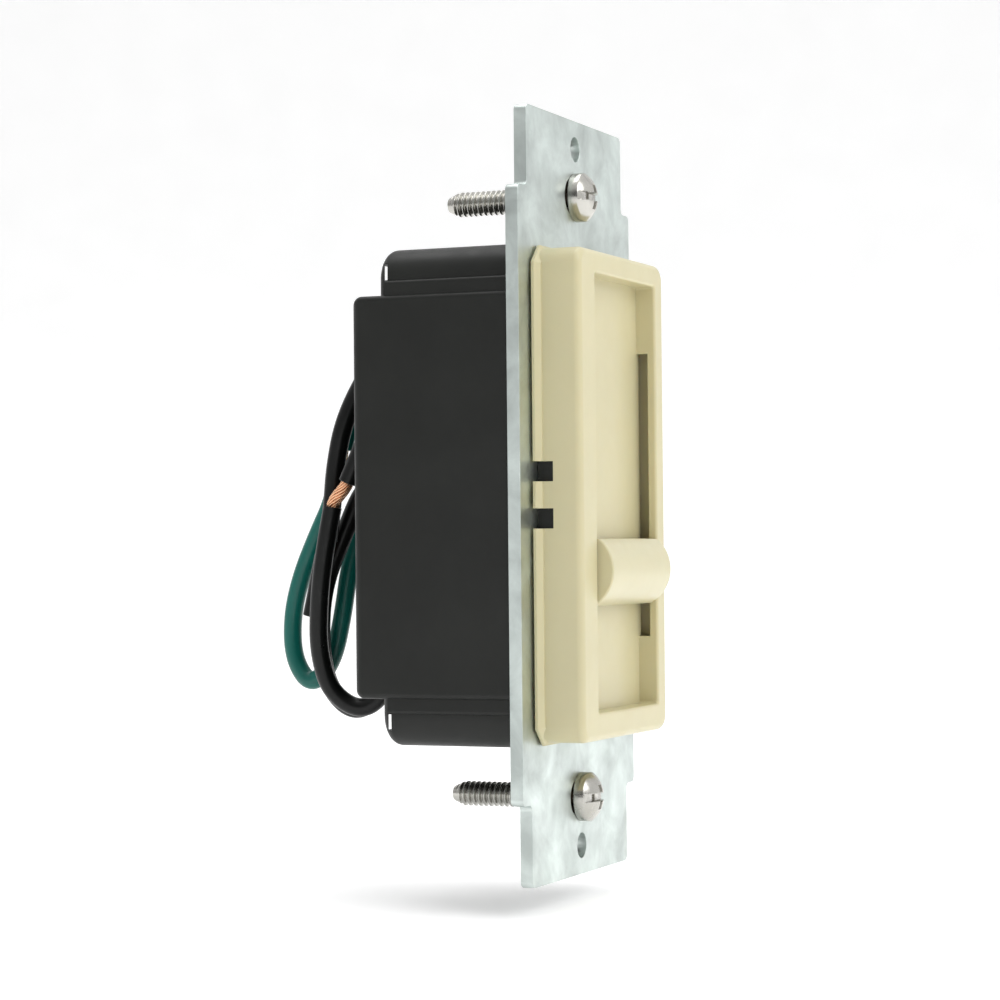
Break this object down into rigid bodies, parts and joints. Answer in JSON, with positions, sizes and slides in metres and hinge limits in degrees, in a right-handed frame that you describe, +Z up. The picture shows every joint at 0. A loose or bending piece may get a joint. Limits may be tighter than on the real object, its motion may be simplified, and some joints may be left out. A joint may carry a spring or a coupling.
{
  "type": "slide dimmer switch",
  "caption": "Wall-box slide dimmer: steel strap with rectangular bezel, recessed slide knob, rear housing with works inside and stripped lead wires.",
  "frame": {"origin": "centre of the two wall-box screws, on the rear face of the strap", "axes": "+Z up along the strap, -Y out of the front, +X to the right seen from the front"},
  "size_m": [0.0426, 0.0564, 0.1048],
  "materials": {
    "strap_metal": "mill-finished pressed strap, faint grey-green sheen",
    "black_housing": "fine satin moulded thermoset",
    "black_plastic": "satin moulded plastic",
    "ivory": "semi-gloss ivory moulding",
    "ivory_knob": "semi-gloss ivory moulding",
    "tin_plate": "tin-plated steel",
    "phenolic": "brown laminated board",
    "white_nylon": "natural nylon",
    "brass": "plain rolled brass",
    "mica": "thin insulating sheet",
    "ferrite": "powdered iron",
    "copper_enamel": "enamelled winding wire",
    "capacitor_case": "dipped film capacitor",
    "glass_diode": "small lacquered component",
    "resistor_body": "lacquered resistor body",
    "screw_steel": "nickel-plated steel",
    "fibre_washer": "vulcanised fibre",
    "copper": "bare copper strands",
    "black_insulation": "soft satin insulation",
    "green_insulation": "soft satin insulation"
  },
  "bodies": {
    "root": {"back_housing": "black_housing", "bezel": "ivory", "bezel_carrier": "black_plastic", "choke_core": "ferrite", "choke_pad": "mica", "choke_winding": "copper_enamel", "circuit_board": "phenolic", "diac": "glass_diode", "far_lead": "black_insulation", "far_lead_slug": "black_insulation", "far_lead_strands": "copper", "film_capacitor": "capacitor_case", "fixed_contact": "brass", "ground_lead": "green_insulation", "ground_lead_slug": "green_insulation", "ground_lead_strands": "copper", "ground_rivet": "brass", "ground_terminal": "brass", "housing_rivets": "tin_plate", "lead_solder_tails": "copper", "mounting_strap": "strap_metal", "near_lead": "black_insulation", "near_lead_slug": "black_insulation", "near_lead_strands": "copper", "potentiometer_can": "tin_plate", "potentiometer_track": "phenolic", "resistors": "resistor_body", "screw_retainers": "fibre_washer", "switch_bracket": "tin_plate", "switch_pin": "screw_steel", "timing_capacitor": "capacitor_case", "triac_body": "black_plastic", "triac_insulator": "mica", "triac_legs": "tin_plate", "triac_rivet": "tin_plate", "triac_tab": "tin_plate"},
    "slider": {"slide_knob": "ivory_knob", "slide_carriage": "black_plastic", "wiper_block": "white_nylon", "wiper_contacts": "brass"},
    "switch_arm": {"switch_arm": "brass"},
    "upper_screw": {"wall_screw_upper": "screw_steel"},
    "lower_screw": {"wall_screw_lower": "screw_steel"}
  },
  "joints": [
    {"name": "dim_slide", "type": "slide", "parent": "root", "child": "slider", "axis": [0, 0, 1], "range_m": [-0.0072, 0.0288]},
    {"name": "switch_arm_pivot", "type": "hinge", "parent": "root", "child": "switch_arm", "pos_m": [0.0075, 0.0032, -0.023], "axis": [1, 0, 0], "range_deg": [0, 6], "stiffness_Nm_per_rad": 0.002},
    {"name": "upper_screw_turn", "type": "hinge", "parent": "root", "child": "upper_screw", "pos_m": [0, 0, 0.04167], "axis": [0, -1, 0], "continuous": true},
    {"name": "lower_screw_turn", "type": "hinge", "parent": "root", "child": "lower_screw", "pos_m": [0, 0, -0.04167], "axis": [0, -1, 0], "continuous": true}
  ]
}
